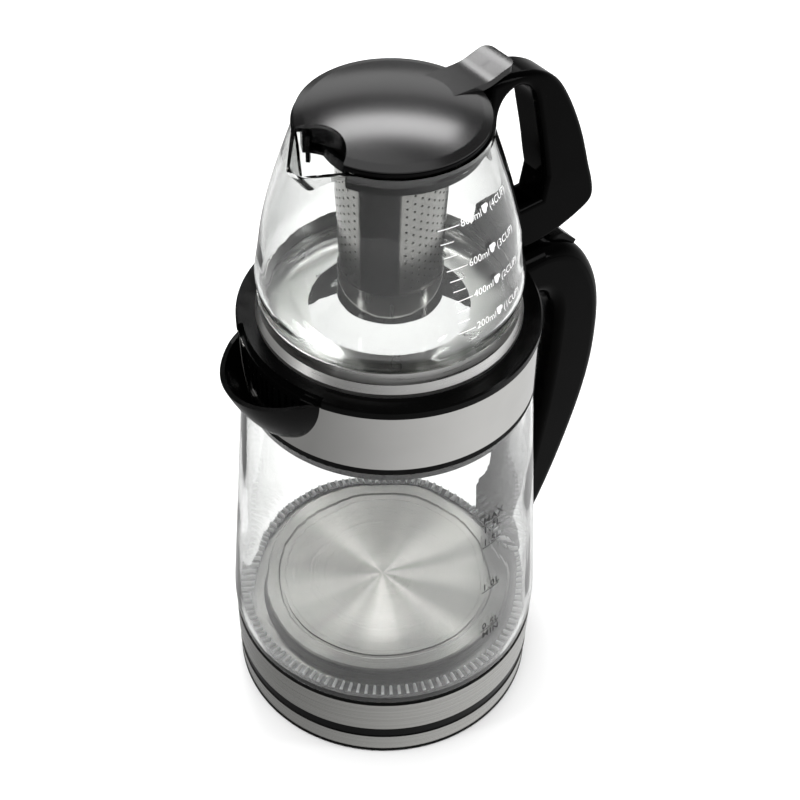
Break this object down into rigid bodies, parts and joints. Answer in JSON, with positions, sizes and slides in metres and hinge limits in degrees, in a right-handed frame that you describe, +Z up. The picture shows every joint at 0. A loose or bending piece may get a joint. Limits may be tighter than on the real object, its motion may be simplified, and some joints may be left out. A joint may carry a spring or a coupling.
{
  "type": "automatic tea maker",
  "caption": "Glass electric kettle on a round power base, with a glass teapot, infuser and lid stacked on its lid ring.",
  "frame": {"origin": "on the kettle's axis, at the sole of the base's middle foot", "axes": "+Z up along the kettle's axis, +X towards the handles, -X towards the spouts"},
  "size_m": [0.2151, 0.1572, 0.3485],
  "materials": {
    "black_plastic": "moulded, semi-gloss",
    "lid_plastic": "dark satin",
    "brushed_steel": "brushed",
    "polished_steel": "polished",
    "screw_steel": "zinc plated",
    "aluminium": "as cast",
    "brass": "bright",
    "black_rubber": "matt silicone",
    "clear_glass": "clear, smooth",
    "light_guide": "clear moulded"
  },
  "bodies": {
    "base": {"base_bottom_plate": "black_plastic", "base_feet": "black_rubber", "base_screws": "screw_steel", "base_trim": "brushed_steel", "base_shell": "black_plastic", "base_stem": "black_plastic", "stem_contacts": "brass", "cord_gland": "black_plastic"},
    "coupler": {"kettle_socket": "black_plastic", "socket_contacts": "brass"},
    "kettle": {"kettle_bottom_cover": "black_plastic", "lower_ring": "brushed_steel", "chassis": "black_plastic", "lower_seal": "black_rubber", "kettle_glass": "clear_glass", "heating_plate": "brushed_steel", "light_ring": "light_guide", "heat_spreader": "aluminium", "heating_element": "screw_steel", "thermostat": "black_plastic", "bimetal_disc": "screw_steel", "upper_seal": "black_rubber", "collar": "polished_steel", "collar_frame": "black_plastic", "kettle_spout": "black_plastic", "kettle_handle": "black_plastic", "handle_cover": "black_plastic", "handle_screws": "screw_steel"},
    "button": {"release_button": "black_plastic"},
    "switch": {"power_switch": "black_plastic"},
    "ring": {"lid_ring": "black_plastic", "ring_o_ring": "black_rubber", "teapot_seat": "polished_steel"},
    "teapot": {"teapot_glass": "clear_glass", "teapot_handle": "black_plastic", "handle_clip": "screw_steel", "clip_screw": "screw_steel"},
    "infuser": {"infuser_rim": "black_plastic", "infuser_basket": "brushed_steel", "infuser_cup": "brushed_steel"},
    "lid": {"lid_cover": "lid_plastic", "lid_plug": "black_plastic"}
  },
  "joints": [
    {"name": "kettle_lift", "type": "slide", "parent": "base", "child": "coupler", "axis": [0, 0, 1], "range_m": [0, 0.08]},
    {"name": "kettle_swivel", "type": "hinge", "parent": "coupler", "child": "kettle", "pos_m": [0, 0, 0.0173], "axis": [0, 0, 1], "continuous": true},
    {"name": "release_press", "type": "slide", "parent": "kettle", "child": "button", "axis": [-0.454, 0, -0.891], "range_m": [0, 0.0015], "stiffness_N_per_m": 400, "springref_m": -0.0005},
    {"name": "power_switch_tilt", "type": "hinge", "parent": "kettle", "child": "switch", "pos_m": [0.0845, 0, 0.031], "axis": [0, 1, 0], "range_deg": [0, 12]},
    {"name": "ring_lift", "type": "slide", "parent": "kettle", "child": "ring", "axis": [0, 0, 1], "range_m": [0, 0.05]},
    {"name": "teapot_lift", "type": "slide", "parent": "ring", "child": "teapot", "axis": [0, 0, 1], "range_m": [0, 0.06]},
    {"name": "infuser_lift", "type": "slide", "parent": "teapot", "child": "infuser", "axis": [0, 0, 1], "range_m": [0, 0.12]},
    {"name": "lid_lift", "type": "slide", "parent": "infuser", "child": "lid", "axis": [0, 0, 1], "range_m": [0, 0.04]}
  ]
}
